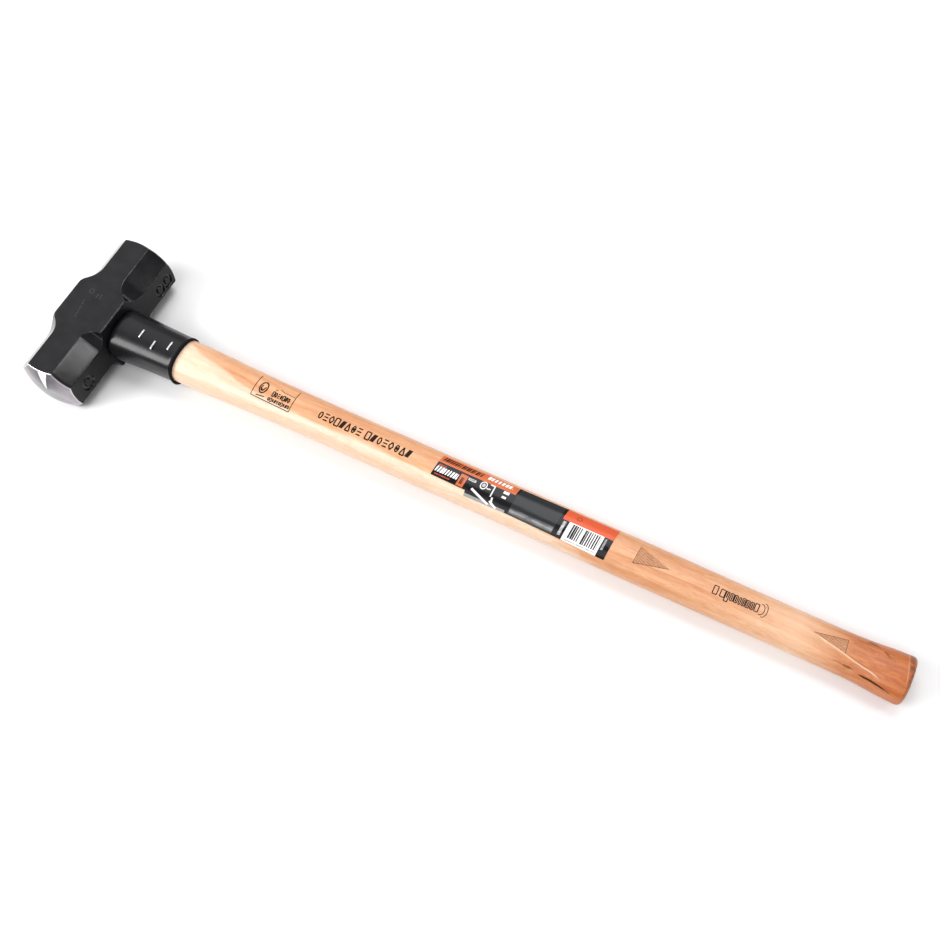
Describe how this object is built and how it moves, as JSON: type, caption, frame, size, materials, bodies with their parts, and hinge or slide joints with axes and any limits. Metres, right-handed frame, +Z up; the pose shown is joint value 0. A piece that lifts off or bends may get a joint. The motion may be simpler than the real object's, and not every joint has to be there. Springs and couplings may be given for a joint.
{
  "type": "long-handled double-faced sledgehammer",
  "caption": "Two-handed sledgehammer with an octagonal forged head, wedged oval hickory handle and a stapled overstrike guard.",
  "frame": {"origin": "middle of the bounding box at floor level; the hammer lies on the lower cheek edge of its head and on its handle's free end", "axes": "+X along the handle towards its free end, +Y along the head towards the painted striking face, +Z up, square to the floor"},
  "size_m": [0.9026, 0.192, 0.0649],
  "materials": {
    "black_paint": "thin black paint on a forged steel head; the near striking face is ground bright",
    "hickory": "smooth hickory, clear lacquered",
    "wedge_wood": "plain hardwood",
    "wedge_steel": "dull mild steel",
    "guard_plastic": "black moulded, satin",
    "staple_steel": "bright galvanised flat wire",
    "label_film": "printed satin film"
  },
  "bodies": {
    "root": {"head": "black_paint", "handle": "hickory", "wooden_wedge": "wedge_wood", "steel_wedge_front": "wedge_steel", "steel_wedge_back": "wedge_steel", "overstrike_guard": "guard_plastic", "guard_staple_1": "staple_steel", "guard_staple_2": "staple_steel", "guard_staple_3": "staple_steel", "wrap_label": "label_film"}
  },
  "joints": []
}
